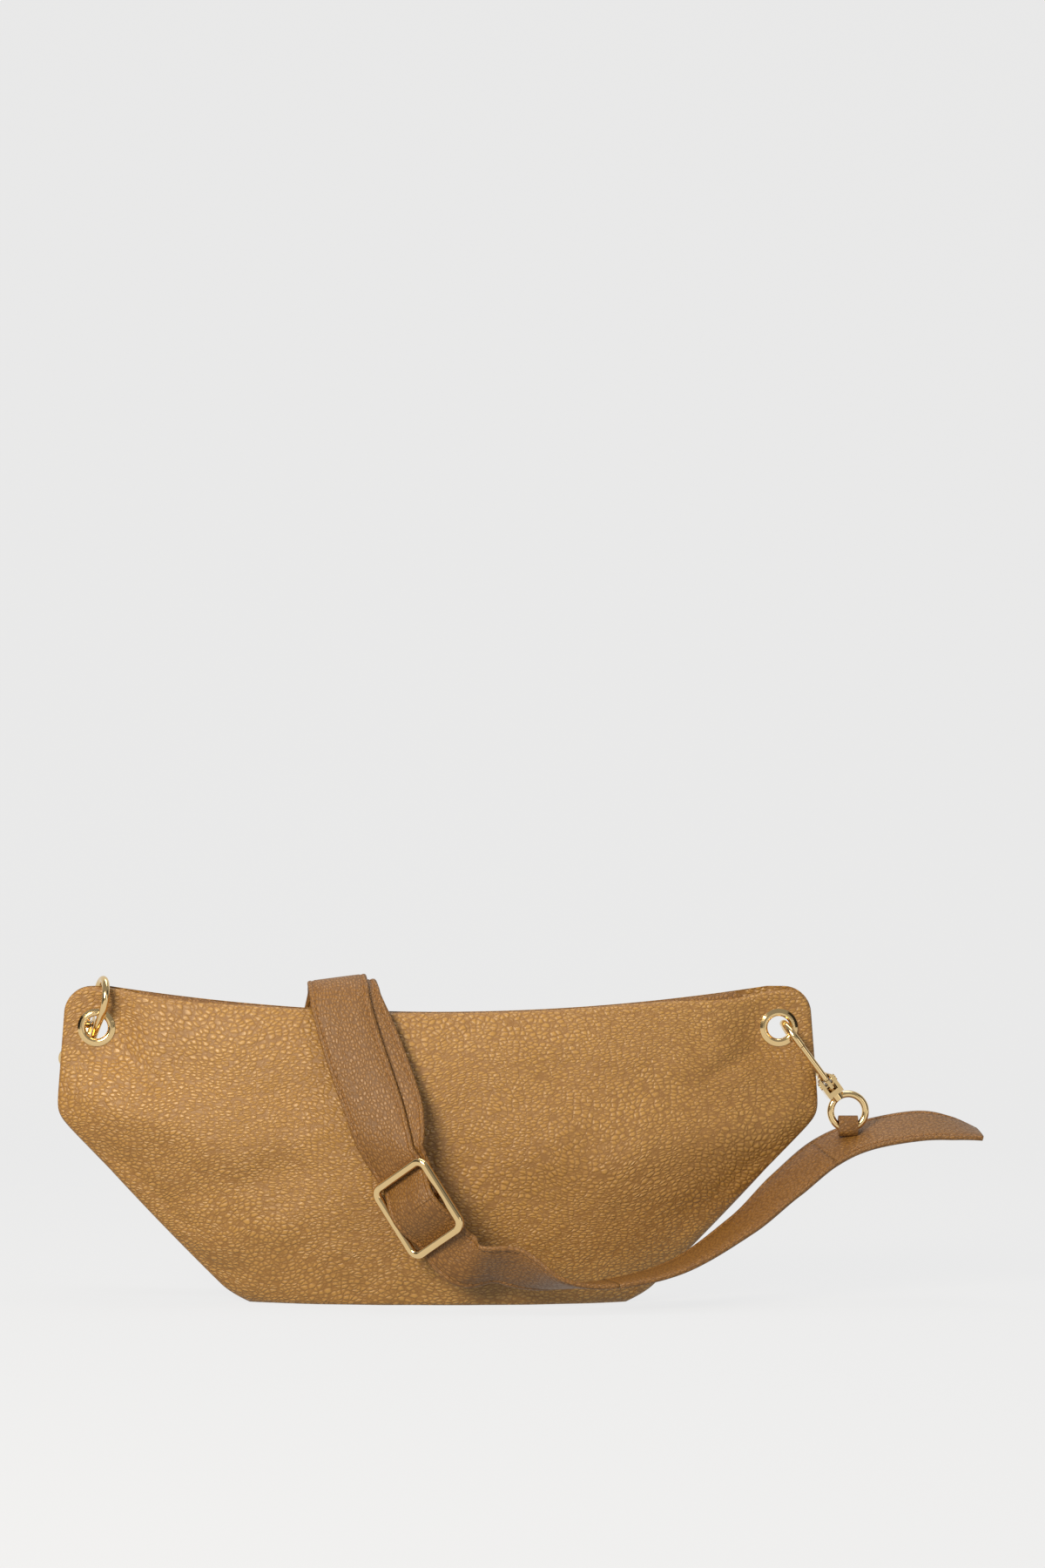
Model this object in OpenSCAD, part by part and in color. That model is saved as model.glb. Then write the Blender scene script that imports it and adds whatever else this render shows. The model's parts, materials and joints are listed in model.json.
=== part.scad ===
// Sling bag in soft leather: trapezoid body with a top zip, an eyelet in each top corner,
// two swivel snap hooks and one adjustable strap laid over the body.
// Millimetres. +Z is up, the front faces -Y, the origin is the centre of the base.

/* [Bag body] */
// Half width of the bag along the base
base_half_w = 94; // [78:1:113]
// Half width of the bag at its wings
wing_half_w = 180; // [178:1:186]
// Height of the wings above the base
wing_z = 89; // [75:1:98]
// How much narrower each half is near the top edge than at the wings
top_in = 5; // [2:0.5:7]
// Height of the top edge at its two ends
end_h = 149.5; // [146:0.5:151]
// How far the top edge dips in the middle
top_dip = 12.5; // [6:0.5:16]
// Half width over which the top edge dips
dip_half_span = 155; // [140:1:165]
// Radius of the two top corners
corner_r = 12; // [8:1:14]
// Half depth added by the base
base_half_d = 15; // [12:1:18]
// Half depth added by the belly between base and top
belly_d = 12.5; // [8:0.5:13]
// Half depth added along the top edge
top_half_d = 8; // [7:0.5:9]

/* [Leather] */
// Thickness of the body leather
leather_t = 1.5; // [1.2:0.1:1.8]
// Gap from the middle plane to each panel at the seams
seam_gap = 0.1; // [0.1:0.05:0.3]
// Thickness of the lining cloth
lining_t = 0.5; // [0.3:0.1:0.8]
// Thickness of the top facings
facing_t = 1; // [0.8:0.1:1.2]
// Thickness of the base board
board_t = 1.2; // [0.8:0.1:2]

/* [Zip] */
// Half length of the row of teeth
zip_half_l = 128; // [110:1:130]
// How far the zip lies below the top edge
zip_drop = 6; // [5:0.5:8]
// Width of the closed row of teeth
teeth_w = 4; // [3:0.5:5]
// Thickness of the row of teeth
teeth_t = 1.6; // [1.2:0.1:2]
// Thickness of the zip tape
tape_t = 0.6; // [0.4:0.1:0.8]
// Length of the zip slider
zip_slider_l = 10; // [8:1:12]
// Length of the zip pull
zip_pull_l = 24; // [16:1:30]
// Width of the zip pull
zip_pull_w = 4.6; // [4:0.2:5]

/* [Eyelets] */
// How far each eyelet's centre lies in from the half width near the top edge
eyelet_in = 14.3; // [14:0.1:17]
// How far each eyelet's centre lies below the ends of the top edge
eyelet_down = 19.5; // [17.5:0.5:20.5]
// Radius of the hole through an eyelet
hole_r = 5.3; // [5.2:0.1:6]
// How far an eyelet's flange reaches past its hole
flange_w = 3.55; // [3.1:0.05:4.2]
// How far a flange stands proud of the leather
flange_h = 1.2; // [1:0.1:1.3]

/* [Snap hooks] */
// Radius of the hook's wire
wire_r = 1.8; // [1.5:0.1:1.9]
// Distance between the two legs of the loop, centre to centre
loop_w = 18; // [18:0.5:20]
// Distance from the bight's wire centre to the hook's body
body_from_bight = 30.4; // [30.4:0.2:32]
// Length of the hook's body
body_l = 10.8; // [10:0.2:13]
// Width of the hook's body across its cheeks
body_w = 8; // [7.6:0.1:8.4]
// Radius of the gate's pin
pin_r = 1; // [0.8:0.1:1.2]
// Radius of the swivel post
post_r = 1.5; // [1.2:0.1:1.7]
// Radius of the swivel eye, to the middle of its wire
eye_r = 8.2; // [7.5:0.1:9]
// Radius of the swivel eye's wire
eye_wire_r = 1.65; // [1.4:0.05:1.8]
// Running clearance of pins and posts in their bores
run_gap = 0.05; // [0.03:0.01:0.1]

/* [Strap] */
// Width of the strap
strap_w = 28; // [24:1:28]
// Thickness of the strap
strap_t = 2.5; // [2:0.1:2.6]
// Width of the leather tabs
tab_w = 9; // [7:0.5:10]
// Thickness of the leather tabs
tab_t = 1.4; // [1:0.1:1.6]
// Width of a bar of the strap slider
slider_bar = 3.8; // [3:0.1:4.5]
// Thickness of the strap slider
slider_t = 3.4; // [2.6:0.1:4]
// Length of the strap slider along the strap
slider_l = 40; // [38:1:42]
// Clearance of the strap's edges inside its metal parts
strap_gap = 0.4; // [0.3:0.1:1]

/* [Hidden] */
$fn = 48;

// Colours
leather_colour = "#b07c44";
strap_colour = "#a8743e";
cloth_colour = "#6d4a2a";
gold_colour = "#d9b25c";

// Body shape
edge_half = seam_gap + leather_t;
top_arc_r = (dip_half_span * dip_half_span + top_dip * top_dip) / (2 * top_dip);
top_half_w = wing_half_w - top_in;
top_mid_z = end_h - top_dip;
flange_r = hole_r + flange_w;
eyelet_x = top_half_w - eyelet_in;
eyelet_z = end_h - eyelet_down;
pinch_r = 16;
seat_gap = 0.1;
side_power = 2.5;
side_soft = 0.9;
across = [for (i = [-14:14]) sin(90 * i / 14)];
up = concat([for (i = [0:9]) i * 0.09], [0.87, 0.91, 0.94, 0.965, 0.985, 1]);

function half_width(z) =
    let (side = z < wing_z
        ? base_half_w + (wing_half_w - base_half_w) * z / wing_z
        : wing_half_w + (top_half_w - wing_half_w) * (z - wing_z) / (end_h - wing_z))
    let (over = max(0, z - (end_h - corner_r)))
    side - corner_r + sqrt(corner_r * corner_r - over * over);
function top_z(x) = min(end_h, top_mid_z + top_arc_r - sqrt(top_arc_r * top_arc_r - x * x));
function belly(v) = top_half_d + (base_half_d - top_half_d) * (1 - v) + belly_d * 4 * v * (1 - v);
function side_fall(u) = pow(max(0, 1 - pow(abs(u), side_power)), side_soft);
function pinch(x, z) =
    1 - exp(-(pow(abs(x) - eyelet_x, 2) + pow(z - eyelet_z, 2)) / (pinch_r * pinch_r));

// Point of the front skin at width share u and height share v, offset from the middle plane
function skin_point(u, v, offset) =
    let (x = u * half_width(v * end_h), z = v * top_z(x))
    [x, -offset - belly(v) * side_fall(u) * pinch(x, z), z];
function skin(offset, reach, rows) =
    [for (v = rows) [for (a = across) skin_point(reach * a, v, offset)]];

// Closed solid between two grids of points, the first one facing -Y
module between(a, b) {
    rows = len(a);
    cols = len(a[0]);
    n = rows * cols;
    quads = concat(
        [for (r = [0:rows - 2]) for (c = [0:cols - 2])
            [r * cols + c, (r + 1) * cols + c, (r + 1) * cols + c + 1, r * cols + c + 1]],
        [for (r = [0:rows - 2]) for (c = [0:cols - 2])
            [n + r * cols + c, n + r * cols + c + 1, n + (r + 1) * cols + c + 1, n + (r + 1) * cols + c]],
        [for (c = [0:cols - 2]) [c, c + 1, n + c + 1, n + c]],
        [for (c = [0:cols - 2]) let (t = (rows - 1) * cols + c) [t, n + t, n + t + 1, t + 1]],
        [for (r = [0:rows - 2]) let (t = r * cols) [t, n + t, n + t + cols, t + cols]],
        [for (r = [0:rows - 2]) let (t = (r + 1) * cols - 1) [t, t + cols, n + t + cols, n + t]]
    );
    triangles = [for (q = quads) each [[q[0], q[1], q[2]], [q[0], q[2], q[3]]]];
    polyhedron([for (grid = [a, b]) for (row = grid) each row], triangles, convexity = 8);
}

module panel_shell(outer, inner, reach, rows) {
    between(skin(outer, reach, rows), skin(inner, reach, rows));
}

module eyelet_holes() {
    for (side = [-1, 1])
        translate([side * eyelet_x, 0, eyelet_z])
            rotate([90, 0, 0]) {
                cylinder(r = barrel_r, h = 4 * edge_half, center = true);
                translate([0, 0, edge_half])
                    cylinder(r = flange_r + seat_gap, h = 4 * edge_half);
            }
}

// Body panels
module front_panel() {
    color(leather_colour)
        difference() {
            panel_shell(edge_half, seam_gap, 1, up);
            eyelet_holes();
        }
}

module back_panel() {
    color(leather_colour)
        mirror([0, 1, 0])
            difference() {
                panel_shell(edge_half, seam_gap, 1, up);
                eyelet_holes();
            }
}

module base_outline(inset, reach) {
    edge = [for (a = across) skin_point(reach * a, 0, seam_gap - inset)];
    polygon(concat([for (p = edge) [p[0], p[1]]], [for (i = [len(edge) - 1:-1:0]) [edge[i][0], -edge[i][1]]]));
}

base_fit = 0.1;
board_inset = 2;
module base_panel() {
    color(leather_colour)
        linear_extrude(leather_t)
            base_outline(base_fit, 0.985);
}

module base_board() {
    color(cloth_colour)
        translate([0, 0, leather_t])
            linear_extrude(board_t)
                base_outline(board_inset, 0.85);
}

// Lining and facings, each just inside the piece that it hangs on
lining_rows = [for (i = [0:10]) 0.035 + i * 0.0835];
lining_clear = 0.65;
lining_reach = (eyelet_x - flange_r - lining_clear) / wing_half_w;
facing_rows = [0.885, 0.91, 0.94, 0.965, 0.985, 1];
facing_fit = 0.5;
tape_fit = 0.2;
module front_lining() {
    color(cloth_colour)
        panel_shell(seam_gap - facing_fit, seam_gap - facing_fit - lining_t, lining_reach, lining_rows);
}

module back_lining() {
    color(cloth_colour)
        mirror([0, 1, 0])
            panel_shell(seam_gap - facing_fit, seam_gap - facing_fit - lining_t, lining_reach, lining_rows);
}

module front_facing() {
    color(strap_colour)
        panel_shell(seam_gap - facing_fit, seam_gap - facing_fit - facing_t, lining_reach, facing_rows);
}

module back_facing() {
    color(strap_colour)
        mirror([0, 1, 0])
            panel_shell(seam_gap - facing_fit, seam_gap - facing_fit - facing_t, lining_reach, facing_rows);
}

// Zip, which follows an arc parallel to the top edge
zip_r = top_arc_r + zip_drop;
zip_arc = asin(zip_half_l / zip_r);
zip_centre_z = top_mid_z + top_arc_r;
zip_gap = 0.25;
arc_fn = 1800;
row_gap = 0.05;
web_half_t = 0.2;
web_gap = 0.15;

// Arc-shaped bar whose profile is drawn as [distance below the arc's line, depth along Y]
module zip_bar(half_angle, profile) {
    translate([0, 0, zip_centre_z])
        rotate([90, 0, 0])
            rotate([0, 0, -90 - half_angle])
                rotate_extrude(angle = 2 * half_angle, $fn = arc_fn)
                    translate([zip_r, 0])
                        polygon(profile);
}

function box_profile(depth, near, far) = [[-depth / 2, near], [depth / 2, near], [depth / 2, far], [-depth / 2, far]];

function tape_z(x) = zip_centre_z - sqrt(zip_r * zip_r - x * x);
function tape_edge(x) =
    let (v = tape_z(x) / top_z(x), u = x / half_width(v * end_h))
    skin_point(u, v, seam_gap - facing_fit - facing_t - tape_fit)[1];
tape_steps = [for (i = [-12:12]) zip_half_l * i / 12];
tape_near = teeth_w / 2 + row_gap;

module front_zip_tape() {
    low = [for (x = tape_steps) [[x, tape_edge(x), tape_z(x) - tape_t / 2], [x, -tape_near, tape_z(x) - tape_t / 2]]];
    high = [for (x = tape_steps) [[x, tape_edge(x), tape_z(x) + tape_t / 2], [x, -tape_near, tape_z(x) + tape_t / 2]]];
    color(cloth_colour)
        between(low, high);
}

module back_zip_tape() {
    mirror([0, 1, 0])
        front_zip_tape();
}

module front_zip_teeth() {
    color(gold_colour)
        zip_bar(zip_arc, box_profile(teeth_t, web_half_t + web_gap, teeth_w / 2));
}

module back_zip_teeth() {
    mirror([0, 1, 0])
        front_zip_teeth();
}

stop_l = 3;
slider_half_angle = asin(zip_slider_l / 2 / zip_r);
travel_angle = asin((zip_half_l - stop_l - zip_slider_l) / zip_r);
slider_wall = 1;

module at_zip_angle(angle) {
    translate([0, 0, zip_centre_z])
        rotate([0, -angle, 0])
            translate([0, 0, -zip_r])
                children();
}

module zip_end_stops() {
    color(gold_colour)
        for (side = [-1, 1])
            at_zip_angle(side * (zip_arc + slider_half_angle * stop_l / zip_slider_l))
                cube([stop_l - 2 * row_gap, teeth_w, teeth_t], center = true);
}

slider_half_w = teeth_w / 2 + zip_gap + slider_wall;
slider_half_h = teeth_t / 2 + zip_gap + slider_wall;
tape_slot = tape_t + 2 * zip_gap;
bridge_r = 0.6;
bridge_h = 2.1;
post_w = 1.6;

// The slider's wings are joined by a web that runs between the two rows
module zip_slider() {
    color(gold_colour)
        difference() {
            at_zip_angle(travel_angle) {
                cube([zip_slider_l, 2 * slider_half_w, 2 * slider_half_h], center = true);
                for (end = [-1, 1])
                    translate([0, end * (slider_half_w - post_w / 2), slider_half_h + bridge_h / 2 - 0.2])
                        cube([2.4, post_w, bridge_h + 0.4], center = true);
                translate([0, 0, slider_half_h + bridge_h - 0.6])
                    rotate([90, 0, 0])
                        cylinder(r = bridge_r, h = 2 * slider_half_w - post_w, center = true);
            }
            for (flip = [0, 1])
                mirror([0, flip, 0]) {
                    zip_bar(zip_arc + 1, box_profile(teeth_t + 2 * zip_gap, web_half_t, teeth_w / 2 + zip_gap));
                    zip_bar(zip_arc + 1, box_profile(tape_slot, web_half_t, 3 * slider_half_w));
                }
        }
}

pull_t = 1.1;
pull_eye_r = bridge_r + 0.12;
pull_root_w = 2 * (slider_half_w - post_w) - 0.3;
pull_root_l = 4.2;
module zip_pull() {
    color(gold_colour)
        at_zip_angle(travel_angle)
            translate([0, 0, slider_half_h + bridge_h - 0.6])
                difference() {
                    union() {
                        rotate([90, 0, 0])
                            cylinder(r = 1.4, h = pull_root_w, center = true);
                        translate([-pull_root_l / 2, 0, 0])
                            cube([pull_root_l, pull_root_w, pull_t], center = true);
                        translate([-(pull_root_l + zip_pull_l - zip_pull_w / 2) / 2, 0, 0])
                            cube([zip_pull_l - pull_root_l - zip_pull_w / 2, zip_pull_w, pull_t], center = true);
                        translate([-zip_pull_l + zip_pull_w / 2, 0, 0])
                            cylinder(d = zip_pull_w, h = pull_t, center = true);
                    }
                    rotate([90, 0, 0])
                        cylinder(r = pull_eye_r, h = 3 * zip_pull_w, center = true);
                    translate([-zip_pull_l + zip_pull_w / 2, 0, 0])
                        cylinder(r = 1.1, h = 3 * pull_t, center = true);
                }
}

// Eyelets: the front half carries the barrel, the back half is the washer that it is rolled over
barrel_wall = 0.6;
barrel_r = hole_r + barrel_wall;
lip_r = 1.5;
washer_gap = 0.02;

// Flange drawn in [radius, height above the leather], with a rounded inner lip
module flange_profile(inner_r) {
    difference() {
        union() {
            translate([hole_r + lip_r, flange_h - lip_r])
                circle(r = lip_r, $fn = 64);
            polygon([
                [inner_r, 0], [hole_r + lip_r, 0], [flange_r, 0], [flange_r, 0.35 * flange_h],
                [hole_r + lip_r + 0.9, flange_h - 0.12], [hole_r + lip_r, flange_h]
            ]);
        }
        translate([0, -4 * lip_r])
            square([inner_r, 8 * lip_r]);
        translate([0, -4 * lip_r])
            square([2 * flange_r, 4 * lip_r]);
    }
}

module eyelet_front(side) {
    translate([side * eyelet_x, -edge_half, eyelet_z])
        rotate([90, 0, 0])
            rotate_extrude()
                union() {
                    flange_profile(hole_r);
                    translate([hole_r, -2 * edge_half])
                        square([barrel_wall - washer_gap, 2 * edge_half + 0.01]);
                }
}

module eyelet_back(side) {
    translate([side * eyelet_x, edge_half, eyelet_z])
        rotate([-90, 0, 0])
            rotate_extrude()
                flange_profile(hole_r);
}

module left_eyelet() {
    color(gold_colour)
        eyelet_front(-1);
}

module left_eyelet_washer() {
    color(gold_colour)
        eyelet_back(-1);
}

module right_eyelet() {
    color(gold_colour)
        eyelet_front(1);
}

module right_eyelet_washer() {
    color(gold_colour)
        eyelet_back(1);
}

// Snap hook in its own frame: bight at the origin, loop in the YZ plane, gate on the -Y side,
// swivel eye towards -Z
leg_y = loop_w / 2;
bend_r = 5;
nose_end = 13;
body_top = -body_from_bight;
body_end = body_top - body_l;
pin_y = 2.6 - leg_y;
body_front = 0.1 - leg_y;
body_back = leg_y - 3.5;
pin_z = body_top - 3.6;
floor_t = 2.4;
cavity_w = 4.6;
gate_r = 1.5;
gate_gap = 0.4;
eye_gap = 0.2;
collar_l = 3.2;
eye_z = body_end - eye_gap - 1.2 - eye_r - eye_wire_r / 2;
right_lean = 36.5;
bight_shift = 3;
left_tilt = 44;
left_yaw = 18;
left_roll = 8;
left_reach = 19.4;

module right_hook_frame() {
    translate([eyelet_x, 0, eyelet_z])
        rotate([0, -right_lean, 0])
            translate([bight_shift, 0, 0])
                children();
}

module left_hook_frame() {
    translate([-eyelet_x, 0, eyelet_z])
        rotate([0, left_roll, 0])
            rotate([0, 0, left_yaw])
                rotate([left_tilt, 0, 0])
                    rotate([0, 0, 180])
                        translate([0, -leg_y, left_reach])
                            children();
}

function about_x(p, a) = [p[0], p[1] * cos(a) - p[2] * sin(a), p[1] * sin(a) + p[2] * cos(a)];
function about_y(p, a) = [p[0] * cos(a) + p[2] * sin(a), p[1], p[2] * cos(a) - p[0] * sin(a)];
function about_z(p, a) = [p[0] * cos(a) - p[1] * sin(a), p[0] * sin(a) + p[1] * cos(a), p[2]];
function right_hook_point(p) =
    [eyelet_x, 0, eyelet_z] + about_y(p + [bight_shift, 0, 0], -right_lean);
function left_hook_point(p) =
    let (turned = about_z(p + [0, -leg_y, left_reach], 180))
    [-eyelet_x, 0, eyelet_z] + about_y(about_z(about_x(turned, left_tilt), left_yaw), left_roll);

module hook_loop() {
    translate([0, 0, -leg_y])
        rotate([90, 0, 90])
            rotate_extrude(angle = 180)
                translate([leg_y, 0])
                    circle(r = wire_r);
    translate([0, -leg_y, -nose_end])
        cylinder(r = wire_r, h = nose_end - leg_y + 0.01);
    translate([0, leg_y, body_top - 1 + bend_r])
        cylinder(r = wire_r, h = -leg_y - body_top + 1 - bend_r + 0.01);
    translate([0, leg_y - bend_r, body_top - 1 + bend_r])
        rotate([90, 0, 90])
            rotate([0, 0, -90])
                rotate_extrude(angle = 90)
                    translate([bend_r, 0])
                        circle(r = wire_r);
}

module hook_body() {
    corner = 3;
    intersection() {
        translate([-body_w / 2, body_front, body_end])
            cube([body_w, body_back - body_front, body_l]);
        union() {
            translate([-body_w / 2, -loop_w, body_end])
                cube([body_w, 2 * loop_w, body_l - corner]);
            translate([-body_w / 2 + corner, -loop_w, body_end])
                cube([body_w - 2 * corner, 2 * loop_w, body_l]);
            for (side = [-1, 1])
                translate([side * (body_w / 2 - corner), 0, body_top - corner])
                    rotate([90, 0, 0])
                        cylinder(r = corner, h = 2 * loop_w, center = true);
        }
        translate([0, (body_front + body_back) / 2, body_end + 4.4])
            rotate([0, 90, 0])
                cylinder(r = (body_back - body_front) / 2 + 2, h = 2 * body_w, center = true);
    }
}

module hook_solid() {
    difference() {
        union() {
            hook_loop();
            hook_body();
        }
        translate([-cavity_w / 2, body_front - 1.1, body_end + floor_t])
            cube([cavity_w, body_back - body_front - 1.5, body_l + 2]);
        translate([0, pin_y, pin_z])
            rotate([0, 90, 0])
                cylinder(r = pin_r, h = 2 * body_w, center = true);
        translate([0, 0, body_end - 1])
            cylinder(r = post_r + run_gap, h = floor_t + 2);
    }
}

module gate_solid() {
    hub_r = 2.2;
    hub_w = 1.6;
    difference() {
        union() {
            translate([0, pin_y, pin_z])
                rotate([0, 90, 0])
                    cylinder(r = hub_r, h = hub_w, center = true);
            translate([0, -leg_y, pin_z + 2])
                cylinder(r = gate_r, h = -nose_end - gate_gap - pin_z - 2);
            translate([-hub_w / 2, -leg_y, pin_z - 1])
                cube([hub_w, leg_y + pin_y, 4]);
            translate([-hub_w / 2, -leg_y - 2.2, pin_z - 3.4])
                cube([hub_w, 3.2, 4.2]);
        }
        translate([0, pin_y, pin_z])
            rotate([0, 90, 0])
                cylinder(r = pin_r + run_gap, h = 2 * body_w, center = true);
    }
}

module pin_solid() {
    head_r = 1.7;
    head_t = 0.5;
    translate([0, pin_y, pin_z])
        rotate([0, 90, 0]) {
            cylinder(r = pin_r - 0.01, h = body_w + head_t, center = true);
            for (end = [-1, 1])
                translate([0, 0, end * (body_w / 2 + head_t / 2 + 0.01)])
                    cylinder(r = head_r, h = head_t, center = true);
        }
}

module spring_solid() {
    coil_r = 1.4;
    spring_wire_r = 0.25;
    for (end = [-1, 1])
        for (turn = [0:1])
            translate([end * (1.15 + turn * 0.56), pin_y, pin_z])
                rotate([0, 90, 0])
                    rotate_extrude()
                        translate([coil_r, 0])
                            circle(r = spring_wire_r, $fn = 24);
}

module eye_solid() {
    head_r = 2.1;
    head_t = 1;
    head_z = body_end + floor_t + 0.2;
    rotate_extrude()
        polygon([
            [0, head_z + head_t], [head_r, head_z + head_t], [head_r, head_z], [post_r, head_z],
            [post_r, body_end - eye_gap], [3, body_end - eye_gap], [2.6, body_end - eye_gap - collar_l],
            [0, body_end - eye_gap - collar_l]
        ]);
    translate([0, 0, eye_z])
        rotate([90, 0, 0])
            rotate_extrude($fn = 72)
                translate([eye_r, 0])
                    circle(r = eye_wire_r);
}

module left_hook() {
    color(gold_colour)
        left_hook_frame()
            hook_solid();
}

module left_gate() {
    color(gold_colour)
        left_hook_frame()
            gate_solid();
}

module left_gate_pin() {
    color(gold_colour)
        left_hook_frame()
            pin_solid();
}

module left_gate_spring() {
    color("silver")
        left_hook_frame()
            spring_solid();
}

module left_swivel_eye() {
    color(gold_colour)
        left_hook_frame()
            eye_solid();
}

module right_hook() {
    color(gold_colour)
        right_hook_frame()
            hook_solid();
}

module right_gate() {
    color(gold_colour)
        right_hook_frame()
            gate_solid();
}

module right_gate_pin() {
    color(gold_colour)
        right_hook_frame()
            pin_solid();
}

module right_gate_spring() {
    color("silver")
        right_hook_frame()
            spring_solid();
}

module right_swivel_eye() {
    color(gold_colour)
        right_hook_frame()
            eye_solid();
}

// Strap: a strip swept along stations, each one
// [centre, direction of the width, how far the inner layer lies aside, distance between the layers]
function unit(v) = v / norm(v);
function curve(a, b, c, d, t) =
    0.5 * (2 * b + (c - a) * t + (2 * a - 5 * b + 4 * c - d) * t * t + (3 * b - a - 3 * c + d) * t * t * t);
function along(list, k, i, t) =
    let (n = len(list) - 1)
    curve(list[max(i - 1, 0)][k], list[i][k], list[min(i + 1, n)][k], list[min(i + 2, n)][k], t);
strap_steps = 4;
function smooth_run(list) =
    let (last = len(list) - 1)
    concat(
        [for (i = [0:last - 1]) for (s = [0:strap_steps - 1]) [for (k = [0:3]) along(list, k, i, s / strap_steps)]],
        [list[last]]
    );
// Each point of a run with its unit directions: [centre, across, outwards, aside, apart]
function framed(run) =
    let (last = len(run) - 1)
    [for (i = [0:last])
        let (tangent = unit(run[min(i + 1, last)][0] - run[max(i - 1, 0)][0]))
        let (side = unit(run[i][1] - (run[i][1] * tangent) * tangent))
        [run[i][0], side, cross(side, tangent), run[i][2], run[i][3]]];
function between_points(a, b, t) = [for (k = [0:4]) a[k] + (b[k] - a[k]) * t];

module strip(run, width, thickness) {
    edge = width / 2;
    front = [for (p = run) [for (e = [-edge, edge]) p[0] + p[1] * e + p[2] * thickness / 2]];
    back = [for (p = run) [for (e = [-edge, edge]) p[0] + p[1] * e - p[2] * thickness / 2]];
    between(front, back);
}

// Strap slider: its own frame has X across the strap, Z up along it and Y towards the bag
slider_pos = [-9, -42.5, 48];
slider_lean = -37.4;
slider_turn = -33;
slider_pitch = -9;
centre_bar_y = 1.6;
centre_bar_r = 1.3;
end_loop_t = 1.4;
end_loop_gap = 0.3;

module slider_frame() {
    translate(slider_pos)
        rotate([0, slider_lean, 0])
            rotate([0, 0, slider_turn])
                rotate([slider_pitch, 0, 0])
                    children();
}

function slider_place(p) = about_y(about_z(about_x(p, slider_pitch), slider_turn), slider_lean);
function slider_point(p) = slider_pos + slider_place(p);
slider_across = slider_place([1, 0, 0]);

window_half_l = slider_l / 2 - slider_bar;
weave_gap = 0.5;
weave_under = slider_t / 2 + weave_gap + strap_t / 2;
weave_over = centre_bar_y - centre_bar_r - 2 * end_loop_gap - end_loop_t - strap_t / 2;

module rounded_plate(w, l, t, r) {
    for (x = [-1, 1])
        for (z = [-1, 1])
            translate([x * (w / 2 - r), 0, z * (l / 2 - r)])
                rotate([90, 0, 0])
                    cylinder(r = r, h = t, center = true);
    cube([w - 2 * r, t, l], center = true);
    cube([w, t, l - 2 * r], center = true);
}

slider_w = strap_w + 2 * strap_gap + 2 * slider_bar;
module strap_slider() {
    color(gold_colour)
        slider_frame() {
            difference() {
                rounded_plate(slider_w, slider_l, slider_t, 6);
                rounded_plate(slider_w - 2 * slider_bar, slider_l - 2 * slider_bar, 2 * slider_t, 2.2);
            }
            translate([0, centre_bar_y, 0])
                rotate([0, 90, 0])
                    cylinder(r = centre_bar_r, h = slider_w - slider_bar, center = true);
        }
}

// Stitched end of the strap, looped round the centre bar
module strap_end_loop() {
    inner = centre_bar_r + end_loop_gap;
    color(strap_colour)
        slider_frame()
            translate([-(strap_w - 4) / 2, centre_bar_y, 0])
                rotate([90, 0, 90])
                    linear_extrude(strap_w - 4)
                        difference() {
                            union() {
                                circle(r = inner + end_loop_t);
                                square([inner + end_loop_t, 6]);
                            }
                            circle(r = inner);
                        }
}

// Left tab's frame: origin on the swivel eye's wire, Z up along the tab
tab_round_eye = 45;
left_tab_pos = left_hook_point([-eye_r * sin(tab_round_eye), 0, eye_z - eye_r * cos(tab_round_eye)]);
tab_lean = -24;
tab_turn = -14;
tab_roll = 22;
loop_drop = 16;
loop_bar_r = 1.6;
loop_h = 9;
turn_gap = 0.3;
turn_leg = 4.5;
end_gap = 0.4;
turn_mid_r = loop_bar_r + turn_gap + strap_t / 2;
run_end_z = -loop_drop - loop_h - turn_leg - end_gap;
function left_tab_point(p) =
    left_tab_pos + about_y(about_z(about_x(p, tab_roll), tab_turn), tab_lean);
loop_across = left_tab_point([1, 0, 0]) - left_tab_pos;

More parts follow.
